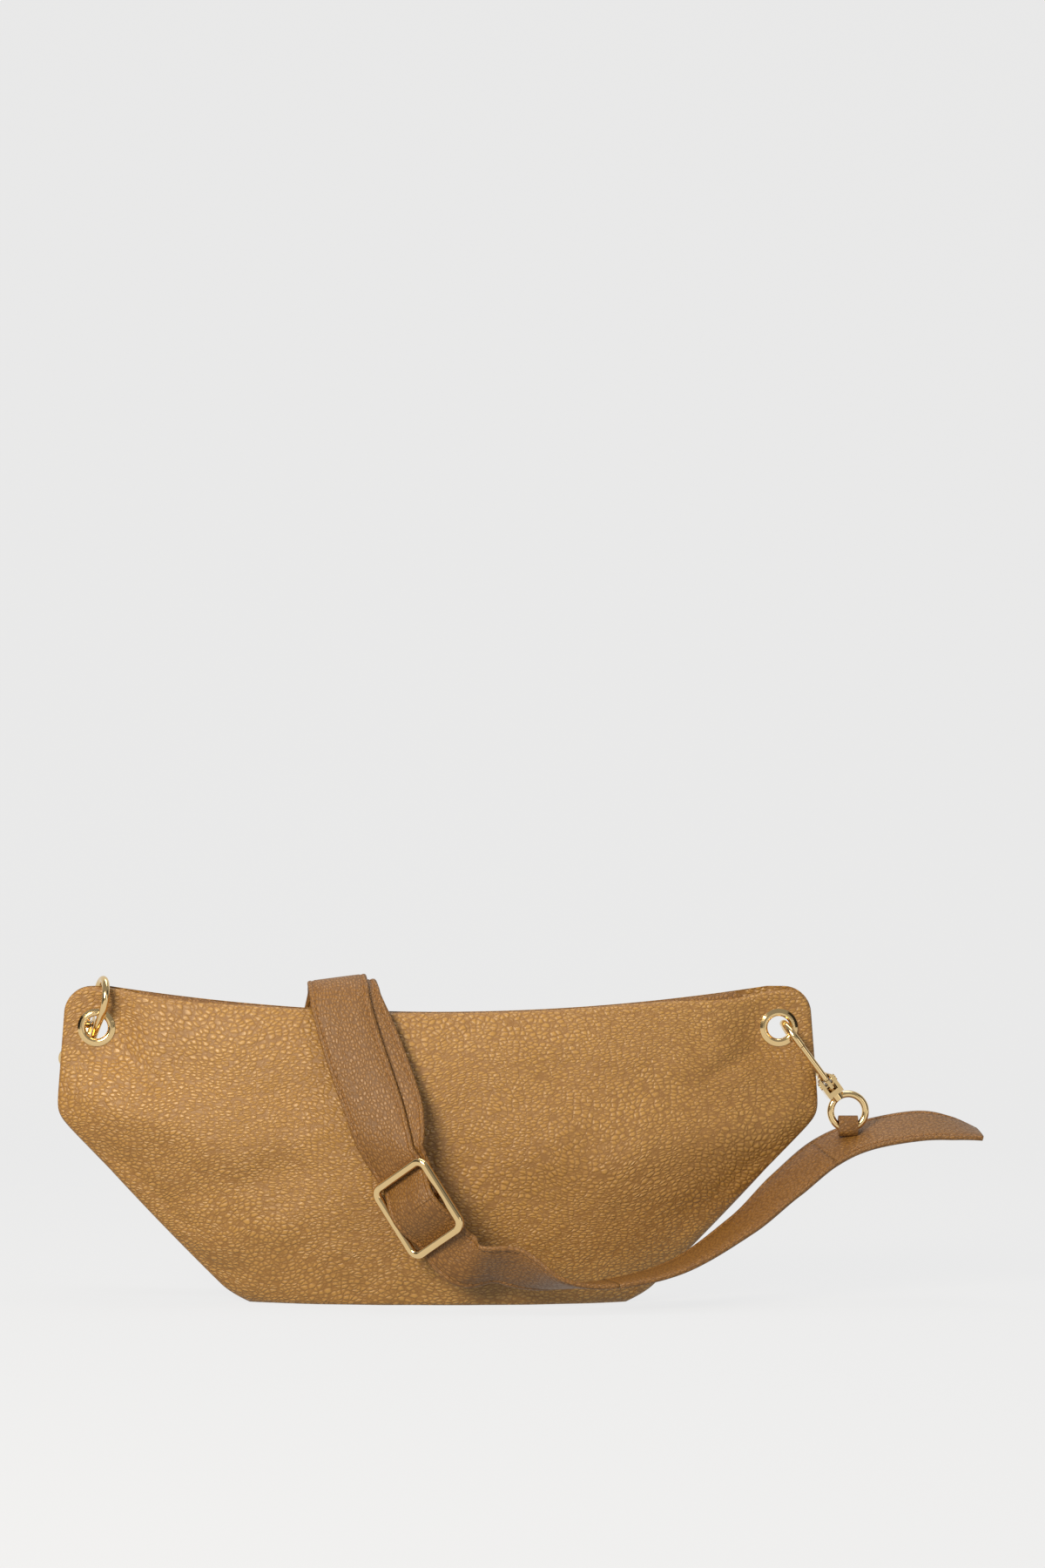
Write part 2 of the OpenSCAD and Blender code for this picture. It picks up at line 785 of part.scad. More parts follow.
// The strap from the tip of its tail to the loop behind the bag
layer_gap = 0.4;
apart = strap_t + layer_gap;
strap_path = [
    [[256, 0, 79.5], [0.05, -0.99, -0.1], 0, apart],
    [[243, 0, 82.5], [0.05, -0.94, -0.3], 0, apart],
    [[227, 0, 83.5], [0.03, -0.91, -0.4], 0, apart],
    [[201.5, -0.5, 79], [0.16, -0.91, -0.37], 0, apart],
    [[182.5, -3, 70.5], [0.27, -0.89, -0.36], 0, apart],
    [[164, -9, 56], [0.2, -0.9, -0.37], 0, apart],
    [[142.5, -18.5, 38], [0.1, -0.96, -0.26], 0, apart],
    [[112, -31, 20], [0.05, -1, -0.1], 0, apart],
    [[81, -39, 12.6], [0, -1, 0], 0, apart],
    [[56, -43.5, 13.2], [0.3, -0.93, 0.2], 0, apart],
    [[33.1, -43.3, 21.4], [0.79, -0.69, 0.51], 0, apart],
    [[16.5, -43.2, 21.9], [0.51, -0.41, 0.46], 0, apart],
    [[8, -41.9, 27], [0.8, -0.48, 0.52], 0, apart],
    [slider_point([0, weave_under + 0.5, -slider_l / 2 + 0.8]), slider_across, 0, apart],
    [slider_point([0, weave_under, -window_half_l + 1.4]), slider_across, 0, apart],
    [slider_point([0, weave_over + 1.2, -5.6]), slider_across, 0, apart],
    [slider_point([0, weave_over, 0]), slider_across, 0, apart],
    [slider_point([0, weave_over + 1.2, 5.6]), slider_across, 0, apart],
    [slider_point([0, weave_under, window_half_l - 1.4]), slider_across, 0.5, apart],
    [slider_point([0, weave_under, slider_l / 2 - 0.8]), slider_across, 2, apart],
    [slider_point([0, weave_under, slider_l / 2 + 6]), slider_across, 4.5, apart],
    [[-25.5, -34.5, 81], [0.87, -0.33, 0.36], 7, apart],
    [[-29.8, -31, 94], [0.92, -0.15, 0.36], 8.5, apart],
    [[-39.5, -22.6, 122], [0.95, 0, 0.31], 8, apart],
    [[-45, -16, 140], [0.98, 0, 0.17], 6, apart],
    [[-46.5, -10, 148.6], [0.99, 0, 0.13], 5, apart],
    [[-47.5, 0, 152.3], [0.99, 0, 0.13], 4, apart],
    [[-47.5, 10, 148.6], [1, 0, 0.05], 3, apart],
    [[-48.5, 16, 140], [1, 0, 0], 2, apart],
    [[-55.5, 25, 114], [0.97, 0, -0.22], 1, apart],
    [[-67, 31.5, 84], [0.95, 0.1, -0.28], 0, apart],
    [[-78, 37, 60], [0.75, 0.6, -0.3], 0, apart],
    [[-92, 40.5, 46], [0.3, 0.95, -0.1], 0, apart],
    [[-109, 42, 44], [0, 1, 0], 0, apart],
    [[-128, 44, 55], [0.5, 0.82, 0.25], 0, apart],
    [[-144.3, 49.4, 68.7], [0.61, 0.52, 0.15], 0, apart + 1],
    [left_tab_point([0, turn_mid_r, run_end_z - 10]), loop_across, 0, 2 * turn_mid_r],
    [left_tab_point([0, turn_mid_r, run_end_z - 4]), loop_across, 0, 2 * turn_mid_r],
    [left_tab_point([0, turn_mid_r, run_end_z]), loop_across, 0, 2 * turn_mid_r]
];
tab_station = 4;
slider_station = 16;
strap_line = framed(smooth_run(strap_path));
strap_last = len(strap_line) - 1;
tail_cut = tab_station * strap_steps;
slider_cut = slider_station * strap_steps;
inner_cut = (slider_station + 2) * strap_steps;
tail_share = 0.1;

module strap_outer_run() {
    color(strap_colour)
        strip([for (i = [slider_cut:strap_last]) strap_line[i]], strap_w, strap_t);
}

module strap_inner_run() {
    inner = [for (i = [inner_cut:strap_last]) let (p = strap_line[i])
        [p[0] + p[1] * p[3] - p[2] * p[4], p[1], p[2], p[3], p[4]]];
    color(strap_colour)
        strip(inner, strap_w, strap_t);
}

module strap_free_run() {
    color(strap_colour)
        strip([for (i = [tail_cut:slider_cut]) strap_line[i]], strap_w, strap_t);
}

module tail_strip(width, thickness) {
    run = [for (i = [0:tail_cut - 1]) strap_line[i]];
    end = between_points(strap_line[tail_cut - 1], strap_line[tail_cut], 1 - tail_share);
    strip(concat(run, [end]), width, thickness);
}

module strap_tail() {
    color(strap_colour)
        tail_strip(strap_w, strap_t);
}

// Leather tabs: a belt of leather round the swivel eye's wire
module tab_belt(low, high, width) {
    inner = eye_wire_r + tab_gap;
    rotate([90, 0, 90])
        translate([0, 0, -width / 2])
            linear_extrude(width)
                difference() {
                    union() {
                        translate([0, high])
                            circle(r = inner + tab_t);
                        translate([0, low])
                            circle(r = inner + tab_t);
                        translate([-inner - tab_t, low])
                            square([2 * (inner + tab_t), high - low]);
                    }
                    translate([0, high])
                        circle(r = inner);
                    translate([0, low])
                        circle(r = inner);
                    translate([-inner, low])
                        square([2 * inner, high - low]);
                }
}

tab_headroom = 2.6;
tab_gap = 0.6;
// The right tab's foot is cut to the slope of the strap that it is stitched to
module right_tab() {
    color(strap_colour)
        difference() {
            translate(right_hook_point([0, 0, eye_z]) - [0, 0, eye_r])
                tab_belt(0, tab_headroom, tab_w);
            tail_strip(strap_w + 2, strap_t + 0.1);
        }
}

// Left tab, which joins the swivel eye to the rectangular loop that the strap turns round
module left_tab_frame() {
    translate(left_tab_pos)
        rotate([0, tab_lean, 0])
            rotate([0, 0, tab_turn])
                rotate([tab_roll, 0, 0])
                    children();
}

module left_tab() {
    color(strap_colour)
        left_tab_frame()
            tab_belt(-loop_drop, tab_headroom, tab_w);
}

module strap_loop() {
    half = strap_w / 2 + strap_gap + loop_bar_r;
    color(gold_colour)
        left_tab_frame() {
            for (z = [-loop_drop, -loop_drop - loop_h])
                translate([0, 0, z])
                    rotate([0, 90, 0])
                        cylinder(r = loop_bar_r, h = 2 * half, center = true);
            for (x = [-half, half]) {
                translate([x, 0, -loop_drop - loop_h])
                    cylinder(r = loop_bar_r, h = loop_h);
                for (z = [-loop_drop, -loop_drop - loop_h])
                    translate([x, 0, z])
                        sphere(r = loop_bar_r);
            }
        }
}

module strap_loop_turn() {
    inner = loop_bar_r + turn_gap;
    color(strap_colour)
        left_tab_frame()
            translate([0, 0, -loop_drop - loop_h])
                rotate([90, 0, 90])
                    translate([0, 0, -strap_w / 2])
                        linear_extrude(strap_w)
                            difference() {
                                union() {
                                    circle(r = inner + strap_t);
                                    translate([-inner - strap_t, -turn_leg])
                                        square([2 * (inner + strap_t), turn_leg]);
                                }
                                circle(r = inner);
                                translate([-inner, -turn_leg - 1])
                                    square([2 * inner, turn_leg + 1]);
                            }
}

front_panel();
back_panel();
base_panel();
base_board();
front_lining();
back_lining();
front_facing();
back_facing();
front_zip_tape();
back_zip_tape();
front_zip_teeth();
back_zip_teeth();
zip_end_stops();
zip_slider();
zip_pull();
left_eyelet();
left_eyelet_washer();
right_eyelet();
right_eyelet_washer();
left_hook();
left_gate();
left_gate_pin();
left_gate_spring();
left_swivel_eye();
right_hook();
right_gate();
right_gate_pin();
right_gate_spring();
right_swivel_eye();
left_tab();
right_tab();
strap_loop();
strap_loop_turn();
strap_slider();
strap_end_loop();
strap_outer_run();
strap_inner_run();
strap_free_run();
strap_tail();
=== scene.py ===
# Sling bag in tumbled leather with gold-tone hardware.
# Sizes are in millimetres until a mesh is made, and the front faces -Y.
import json
import math

import bmesh
import bpy
import numpy as np
from mathutils import Matrix, Vector, noise


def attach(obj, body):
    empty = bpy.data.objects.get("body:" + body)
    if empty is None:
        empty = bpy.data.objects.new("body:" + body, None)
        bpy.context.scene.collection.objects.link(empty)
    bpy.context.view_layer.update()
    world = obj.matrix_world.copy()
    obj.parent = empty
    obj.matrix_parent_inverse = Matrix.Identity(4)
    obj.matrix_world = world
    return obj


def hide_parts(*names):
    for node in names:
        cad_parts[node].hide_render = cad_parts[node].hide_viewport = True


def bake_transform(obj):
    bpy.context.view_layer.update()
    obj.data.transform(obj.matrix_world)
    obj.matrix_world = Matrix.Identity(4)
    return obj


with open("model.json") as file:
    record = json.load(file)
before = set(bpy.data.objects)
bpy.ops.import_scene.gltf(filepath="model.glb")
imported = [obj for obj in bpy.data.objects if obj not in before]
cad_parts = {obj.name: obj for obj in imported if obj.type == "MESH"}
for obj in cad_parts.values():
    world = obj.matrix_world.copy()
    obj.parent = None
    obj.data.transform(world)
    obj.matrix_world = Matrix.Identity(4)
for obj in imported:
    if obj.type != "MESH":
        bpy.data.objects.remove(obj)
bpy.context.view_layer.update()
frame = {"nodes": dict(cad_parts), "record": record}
nodes = frame["nodes"]
mm = 0.001


def linear(hexCode):
    parts = [int(hexCode[i:i + 2], 16) / 255 for i in (1, 3, 5)]
    return [p / 12.92 if p <= 0.04045 else ((p + 0.055) / 1.055) ** 2.4 for p in parts] + [1.0]


def addNode(tree, kind, settings=None, inputs=None):
    node = tree.nodes.new(kind)
    for key, value in (settings or {}).items():
        setattr(node, key, value)
    for key, value in (inputs or {}).items():
        if isinstance(value, bpy.types.NodeSocket):
            tree.links.new(value, node.inputs[key])
        else:
            node.inputs[key].default_value = value
    return node


def newMaterial(name):
    material = bpy.data.materials.new(name)
    material.use_nodes = True
    material.node_tree.nodes.clear()
    return material, material.node_tree


def closeMaterial(tree, shader):
    addNode(tree, "ShaderNodeOutputMaterial", inputs={"Surface": shader.outputs[0]})


# Leather

# Each look's darkest colour is painted shade, given to the creases between pebbles
bagLeather = {"base": "#9E712F", "creaseShade": "#845B23", "high": "#B28741", "pebble": 1.5, "stretch": 1.9,
              "depth": 0.37, "roughness": 0.4, "specular": 0.6}
strapLeather = {"base": "#7F5621", "creaseShade": "#694518", "high": "#8E6329", "pebble": 1.4, "stretch": 1.5,
                "depth": 0.24, "roughness": 0.42, "specular": 0.5}


def tumbledLeather(name, look, useUv):
    # Drum-tumbled full-grain hide: rounded pebbles with soft creases, a waxy sheen on their tops and uneven dye; the
    # creases are also painted darker, painted shade in the hollows between pebbles
    material, tree = newMaterial(name)
    coordinates = addNode(tree, "ShaderNodeTexCoord")
    source = coordinates.outputs["UV" if useUv else "Object"]
    size = 1000 / look["pebble"]
    drift = addNode(tree, "ShaderNodeTexNoise", inputs={"Vector": source, "Scale": 14.0, "Detail": 1.0})
    leaned = addNode(tree, "ShaderNodeVectorMath", {"operation": "MULTIPLY_ADD"},
                     {0: drift.outputs["Color"], 1: (0.0, 0.0, 0.03), 2: source})
    placed = addNode(tree, "ShaderNodeMapping",
                     inputs={"Vector": source if useUv else leaned.outputs[0],
                             "Scale": (1 / look["stretch"], 1 if useUv else 0.7, 1)})
    sway = addNode(tree, "ShaderNodeTexNoise",
                   inputs={"Vector": placed.outputs[0], "Scale": size * 0.4, "Detail": 2.0})
    swayed = addNode(tree, "ShaderNodeVectorMath", {"operation": "MULTIPLY_ADD"},
                     {0: sway.outputs["Color"], 1: (0.0016, 0.0016, 0.0016), 2: placed.outputs[0]})
    cells = addNode(tree, "ShaderNodeTexVoronoi", {"feature": "F1"},
                    {"Vector": swayed.outputs[0], "Scale": size, "Randomness": 0.85})
    edges = addNode(tree, "ShaderNodeTexVoronoi", {"feature": "DISTANCE_TO_EDGE"},
                    {"Vector": swayed.outputs[0], "Scale": size, "Randomness": 0.85})
    shoulder = addNode(tree, "ShaderNodeMapRange", {"interpolation_type": "SMOOTHSTEP"},
                       {"Value": edges.outputs["Distance"], "From Max": 0.34})
    crown = addNode(tree, "ShaderNodeMath", {"operation": "MULTIPLY_ADD"},
                    {0: cells.outputs["Distance"], 1: -0.45, 2: 0.45})
    dome = addNode(tree, "ShaderNodeMath", {"operation": "MULTIPLY_ADD"},
                   {0: shoulder.outputs[0], 1: 0.6, 2: crown.outputs[0]})
    broad = addNode(tree, "ShaderNodeTexNoise",
                    inputs={"Vector": placed.outputs[0], "Scale": size * 0.22, "Detail": 2.0})
    relief = addNode(tree, "ShaderNodeMath", {"operation": "MULTIPLY_ADD"},
                     {0: broad.outputs["Fac"], 1: 0.55, 2: dome.outputs[0]})
    pores = addNode(tree, "ShaderNodeTexNoise",
                    inputs={"Vector": placed.outputs[0], "Scale": size * 3, "Detail": 2.0})
    surface = addNode(tree, "ShaderNodeMath", {"operation": "MULTIPLY_ADD"},
                      {0: pores.outputs["Fac"], 1: 0.14, 2: relief.outputs[0]})
    cloud = addNode(tree, "ShaderNodeTexNoise",
                    inputs={"Vector": source, "Scale": 20.0, "Detail": 3.0, "Roughness": 0.5})
    tone = addNode(tree, "ShaderNodeMix", {"data_type": "RGBA"},
                   {"Factor": cloud.outputs["Fac"], 6: linear(look["base"]), 7: linear(look["high"])})
    # Painted shade: the colour falls from the dyed tone on the pebble tops to the darker crease colour down in the
    # creases
    shade = addNode(tree, "ShaderNodeMapRange", inputs={"Value": dome.outputs[0], "From Min": 0.15, "From Max": 0.8})
    colour = addNode(tree, "ShaderNodeMix", {"data_type": "RGBA"},
                     {"Factor": shade.outputs[0], 6: linear(look["creaseShade"]), 7: tone.outputs[2]})
    sheen = addNode(tree, "ShaderNodeMapRange",
                    inputs={"Value": dome.outputs[0], "To Min": look["roughness"] + 0.2, "To Max": look["roughness"]})
    bump = addNode(tree, "ShaderNodeBump", inputs={"Height": surface.outputs[0], "Strength": 1.0,
                                                    "Distance": look["depth"] * mm})
    shader = addNode(tree, "ShaderNodeBsdfPrincipled",
                     inputs={"Base Color": colour.outputs[2], "Roughness": sheen.outputs[0],
                             "Normal": bump.outputs[0], "IOR": 1.5, "Specular IOR Level": look["specular"]})
    closeMaterial(tree, shader)
    return material


def polishedGold(name, hexCode, roughness):
    # Gold-plated zinc casting, barrel polished: a mirror with the faintest ripple
    material, tree = newMaterial(name)
    coordinates = addNode(tree, "ShaderNodeTexCoord")
    ripple = addNode(tree, "ShaderNodeTexNoise", inputs={"Vector": coordinates.outputs["Object"], "Scale": 260.0})
    bump = addNode(tree, "ShaderNodeBump",
                   inputs={"Height": ripple.outputs["Fac"], "Strength": 0.12, "Distance": 0.1 * mm})
    shader = addNode(tree, "ShaderNodeBsdfPrincipled",
                     inputs={"Base Color": linear(hexCode), "Metallic": 1.0, "Roughness": roughness,
                             "Normal": bump.outputs[0]})
    closeMaterial(tree, shader)
    return material


def wovenCloth(name, hexCode, thread):
    # Plain cotton weave: crossing threads drawn at their real spacing
    material, tree = newMaterial(name)
    coordinates = addNode(tree, "ShaderNodeTexCoord")
    waves = [addNode(tree, "ShaderNodeTexWave", {"bands_direction": way},
                     {"Vector": coordinates.outputs["Object"], "Scale": 1000 / thread / 20}) for way in ("X", "Z")]
    weave = addNode(tree, "ShaderNodeMath", {"operation": "MULTIPLY"},
                    {0: waves[0].outputs["Fac"], 1: waves[1].outputs["Fac"]})
    bump = addNode(tree, "ShaderNodeBump", inputs={"Height": weave.outputs[0], "Strength": 0.5, "Distance": 0.1 * mm})
    shader = addNode(tree, "ShaderNodeBsdfPrincipled",
                     inputs={"Base Color": linear(hexCode), "Roughness": 0.9, "Normal": bump.outputs[0], "IOR": 1.45})
    closeMaterial(tree, shader)
    return material


def plainFinish(name, hexCode, roughness, metallic=0.0):
    material, tree = newMaterial(name)
    shader = addNode(tree, "ShaderNodeBsdfPrincipled",
                     inputs={"Base Color": linear(hexCode), "Roughness": roughness, "Metallic": metallic})
    closeMaterial(tree, shader)
    return material


panelLeather = tumbledLeather("tumbledCowhidePanels", bagLeather, False)
tabLeather = tumbledLeather("tumbledCowhideTabs", strapLeather, False)
beltLeather = tumbledLeather("tumbledCowhideStrap", strapLeather, True)
gold = polishedGold("polishedGoldPlate", "#E4C58E", 0.12)
zipGold = polishedGold("polishedZipBrass", "#D9AE66", 0.2)
liningCotton = wovenCloth("cottonLining", "#6B4827", 0.8)
zipTape = wovenCloth("polyesterZipTape", "#7A5228", 0.6)
boardFinish = plainFinish("greyBoard", "#4A4641", 0.8)
springSteel = plainFinish("springSteelWire", "#B9B9BA", 0.3, 1.0)
threadNylon = plainFinish("bondedNylonThread", "#8C6030", 0.55)
print("materials made")


# Mesh helpers

def meshPiece(name, points, faces, material, body=None, uvs=None):
    mesh = bpy.data.meshes.new(name)
    mesh.from_pydata([tuple(float(c) * mm for c in p) for p in points], [], faces)
    mesh.polygons.foreach_set("use_smooth", [True] * len(mesh.polygons))
    if uvs is not None:
        layer = mesh.uv_layers.new(name="along")
        index = np.empty(len(mesh.loops), np.int32)
        mesh.loops.foreach_get("vertex_index", index)
        layer.data.foreach_set("uv", (np.asarray(uvs, np.float32)[index] * mm).ravel())
    mesh.update()
    piece = bpy.data.objects.new(name, mesh)
    bpy.context.scene.collection.objects.link(piece)
    if material:
        mesh.materials.append(material)
    if body:
        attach(piece, body)
    return piece


def gridFaces(rows, cols, start=0, wrap=False, flip=False):
    faces = []
    for r in range(rows - 1):
        for c in range(cols if wrap else cols - 1):
            d = (c + 1) % cols
            here, above = start + r * cols, start + (r + 1) * cols
            quad = (here + c, above + c, above + d, here + d)
            faces.append(quad[::-1] if flip else quad)
    return faces


def rimLoop(rows, cols):
    # The outer points of a grid, in order round it
    rim = list(range(cols)) + [r * cols + cols - 1 for r in range(1, rows)]
    return rim + [(rows - 1) * cols + c for c in range(cols - 2, -1, -1)] + [r * cols for r in range(rows - 2, 0, -1)]


def outward(piece):
    work = bmesh.new()
    work.from_mesh(piece.data)
    bmesh.ops.remove_doubles(work, verts=work.verts, dist=1e-7)
    bmesh.ops.recalc_face_normals(work, faces=work.faces)
    work.to_mesh(piece.data)
    work.free()
    return piece


def applied(piece):
    # The evaluated piece as a plain mesh
    graph = bpy.context.evaluated_depsgraph_get()
    mesh = bpy.data.meshes.new_from_object(piece.evaluated_get(graph))
    piece.modifiers.clear()
    piece.data = mesh
    return piece


def softCopy(node, name, material, body, bevel=0.35):
    piece = bpy.data.objects.new(name, nodes[node].data.copy())
    bpy.context.scene.collection.objects.link(piece)
    piece.data.materials.clear()
    piece.data.materials.append(material)
    outward(piece)
    edge = piece.modifiers.new("edge", "BEVEL")
    edge.width = bevel * mm
    edge.segments = 3
    edge.angle_limit = math.radians(35)
    applied(piece)
    piece.data.polygons.foreach_set("use_smooth", [True] * len(piece.data.polygons))
    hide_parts(node)
    if body:
        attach(piece, body)
    return piece


# Bag body

body = {"baseHalf": 94, "wingHalf": 180, "wingZ": 89, "topHalf": 175, "endH": 149.5, "dip": 12.5,
        "dipSpan": 155, "corner": 12, "baseDepth": 15, "belly": 12.5, "topDepth": 8, "leather": 1.5,
        "gap": 0.1, "eyeletX": 160.7, "eyeletZ": 130, "wingSoft": 2.4, "footSoft": 5,
        "footH": 9, "columns": 230, "rows": 110}
arcR = (body["dipSpan"] ** 2 + body["dip"] ** 2) / (2 * body["dip"])
topMid = body["endH"] - body["dip"]


def halfWidth(z):
    low = body["baseHalf"] + (body["wingHalf"] - body["baseHalf"]) * z / body["wingZ"]
    rise = (z - body["wingZ"]) / (body["endH"] - body["wingZ"])
    high = body["wingHalf"] + (body["topHalf"] - body["wingHalf"]) * rise
    over = np.clip(z - (body["endH"] - body["corner"]), 0, body["corner"])
    soft = body["wingSoft"]
    side = np.minimum(low, high) - soft * np.log1p(np.exp(-np.abs(low - high) / soft))
    foot = body["footSoft"] * np.clip(1 - z / body["footH"], 0, 1) ** 2
    return side - foot - body["corner"] + np.sqrt(body["corner"] ** 2 - over ** 2)


def topZ(x):
    return np.minimum(body["endH"], topMid + arcR - np.sqrt(arcR ** 2 - x ** 2))


def belly(v):
    return body["topDepth"] + (body["baseDepth"] - body["topDepth"]) * (1 - v) + body["belly"] * 4 * v * (1 - v)


def dimple(x, z):
    reach = np.maximum(0, np.hypot(np.abs(x) - body["eyeletX"], z - body["eyeletZ"]) - 7.5)
    return 1 - np.exp(-(reach / 13) ** 2)


def fabricNoise(x, z, size, seed):
    flat = [noise.noise(Vector((a / size, b / size * 1.3, seed))) for a, b in zip(x.ravel(), z.ravel())]
    return np.array(flat).reshape(x.shape)


def ridge(x, z, start, end, width):
    # A long soft fold between two points: 1 along its line, fading across and past its ends
    ax, az = start
    bx, bz = end
    length = math.hypot(bx - ax, bz - az)
    ux, uz = (bx - ax) / length, (bz - az) / length
    t = (x - ax) * ux + (z - az) * uz
    side = -(x - ax) * uz + (z - az) * ux
    past = np.maximum(0, np.maximum(-t, t - length))
    return np.exp(-(side / width) ** 2 - (past / (width * 1.6)) ** 2)


frontFolds = [((-168, 96), (-96, 74), 11, 1.6), ((-150, 118), (-60, 96), 10, -1.5), ((-128, 50), (-70, 62), 9, -1.2),
              ((-110, 24), (-50, 44), 9, 1.0), ((-155, 70), (-120, 38), 6, -1.1), ((60, 110), (150, 92), 12, -1.4),
              ((90, 70), (165, 84), 10, 1.3), ((20, 60), (95, 40), 13, -1.2), ((118, 44), (150, 62), 7, -1.0),
              ((-152, 122), (-132, 104), 4.5, -1.3), ((152, 121), (130, 108), 4.5, -1.3)]
backFolds = [((-160, 90), (-70, 70), 12, -1.5), ((60, 80), (160, 96), 11, 1.2), ((-40, 40), (50, 52), 13, -1.6),
             ((-20, 110), (90, 100), 12, -1.2), ((150, 122), (128, 106), 5, -1.2),
             ((-150, 122), (-130, 106), 5, -1.2)]


def softness(x, z, u, v, folds, seed):
    # How far the hide stands out of, or sinks below, the smooth belly
    out = 0.9 * fabricNoise(x, z, 34, seed) + 0.35 * fabricNoise(x, z, 13, seed + 5)
    for start, end, width, height in folds:
        out = out + height * ridge(x, z, start, end, width)
    width = halfWidth(v * body["endH"])
    fromSide = (1 - np.abs(u)) * width
    fromBase = v * topZ(x)
    along = np.where(fromSide < fromBase, z * 1.35, x)
    near = np.minimum(fromSide, fromBase)
    wander = 2.2 * fabricNoise(along, z * 0 + seed, 22, seed + 9)
    pucker = np.sin(along / 5.2 + wander) * np.exp(-((near - 5) / 6.5) ** 2) * 0.55
    inside = 1 - np.exp(-(near / 7) ** 2)
    rim = 1 - np.exp(-(((1 - v) * topZ(x)) / 6) ** 2)
    return (out * inside + pucker) * rim


def rolled(distance, radius):
    # 0 at a turned edge, 1 past the roll
    left = 1 - np.minimum(distance / radius, 1)
    return np.sqrt(np.maximum(0, 1 - left ** 2))


def edgeSteps(count, near):
    inner = np.sin(np.linspace(-1, 1, count) * math.pi / 2) * near[-1]
    return np.concatenate([-np.array(near), inner[1:-1], np.array(near)[::-1]])


def frontDrop(x):
    # The front panel's top edge hangs a little lower than the back's near both corners
    left = 1.7 * np.exp(-((x + 122) / 32) ** 2)
    right = 3.4 * np.exp(-((x - 141) / 26) ** 2)
    return left + right


def panelMesh(name, side, folds, seed):
    close = [1, 0.9994, 0.9978, 0.9955, 0.992, 0.988, 0.982]
    u = edgeSteps(body["columns"], close)
    lowRows = [0, 0.0012, 0.004, 0.008, 0.013, 0.02]
    v = np.concatenate([lowRows, np.linspace(0.028, 0.972, body["rows"]), 1 - np.array(lowRows)[::-1]])
    uu, vv = np.meshgrid(u, v)
    x = uu * halfWidth(vv * body["endH"])
    z = vv * (topZ(x) - (frontDrop(x) * vv ** 3 if side < 0 else 0))
    fall = np.power(np.maximum(0, 1 - np.abs(uu) ** 2.5), 0.9)
    round_ = dimple(x, z)
    swell = belly(vv) * fall * round_
    soft = softness(x, z, uu, vv, folds, seed) * round_ * np.minimum(1, fall * 4)
    width = halfWidth(vv * body["endH"])
    edge = np.minimum(np.minimum((1 - np.abs(uu)) * width, vv * topZ(x)), (1 - vv) * topZ(x))
    outer = body["gap"] + body["leather"] * (0.12 + 0.88 * rolled(edge, 2.0)) + swell + soft
    inner = body["gap"] + swell + soft * np.minimum(1, edge / 4)
    inner = np.minimum(inner, outer - 0.12)
    rows, cols = x.shape
    front = np.stack([x, side * outer, z], -1).reshape(-1, 3)
    rear = np.stack([x, side * inner, z], -1).reshape(-1, 3)
    n = rows * cols
    faces = gridFaces(rows, cols) + gridFaces(rows, cols, n, flip=True)
    rim = rimLoop(rows, cols)
    for i, a in enumerate(rim):
        b = rim[(i + 1) % len(rim)]
        faces.append((a, b, n + b, n + a))
    piece = meshPiece(name, np.concatenate([front, rear]), faces, panelLeather)
    outward(piece)
    for end in (-1, 1):
        bpy.ops.mesh.primitive_cylinder_add(vertices=48, radius=5.85 * mm, depth=0.03,
                                            location=(end * body["eyeletX"] * mm, 0, body["eyeletZ"] * mm),
                                            rotation=(math.pi / 2, 0, 0))
        punch = bpy.context.object
        cut = piece.modifiers.new("punch", "BOOLEAN")
        cut.operation = "DIFFERENCE"
        cut.object = punch
        cut.solver = "EXACT"
        applied(piece)
        bpy.data.objects.remove(punch)
    piece.data.polygons.foreach_set("use_smooth", [True] * len(piece.data.polygons))
    return piece


frontPanel = panelMesh("frontPanelHide", -1, frontFolds, 3.1)
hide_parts("front_panel")
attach(frontPanel, "bag")
backPanel = panelMesh("backPanelHide", 1, backFolds, 8.4)
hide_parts("back_panel")
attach(backPanel, "bag")
print("panels made")


def innerShell(name, node, side, share, offset, thick, reach, rows, material):
    uu, vv = np.meshgrid(np.sin(np.linspace(-1, 1, 90) * math.pi / 2) * reach, rows)
    x = uu * halfWidth(vv * body["endH"])
    z = vv * topZ(x)
    swell = share * belly(vv) * np.power(np.maximum(0, 1 - np.abs(uu) ** 2.5), 0.9) * dimple(x, z)
    grids = [np.stack([x, side * (swell + offset - t), z], -1).reshape(-1, 3) for t in (0, thick)]
    rowCount, cols = x.shape
    n = rowCount * cols
    faces = gridFaces(rowCount, cols) + gridFaces(rowCount, cols, n, flip=True)
    rim = rimLoop(rowCount, cols)
    faces += [(a, rim[(i + 1) % len(rim)], n + rim[(i + 1) % len(rim)], n + a) for i, a in enumerate(rim)]
    piece = outward(meshPiece(name, np.concatenate(grids), faces, material))
    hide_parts(node)
    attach(piece, "bag")
    return piece


for word, side in (("front", -1), ("back", 1)):
    innerShell(word + "LiningCloth", word + "_lining", side, 0.72, -0.5, 0.5, 0.84, np.linspace(0.035, 0.87, 40),
               liningCotton)
    innerShell(word + "FacingStrip", word + "_facing", side, 1.0, -0.5, 1.0, 0.84, np.linspace(0.885, 0.998, 12),
               tabLeather)
baseHide = softCopy("base_panel", "baseHide", panelLeather, None)
baseHide.data.transform(Matrix.Diagonal((0.95, 1, 1, 1)))
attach(baseHide, "bag")
softCopy("base_board", "baseBoard", boardFinish, "bag")
print("lining, facings and base made")


# Strap route

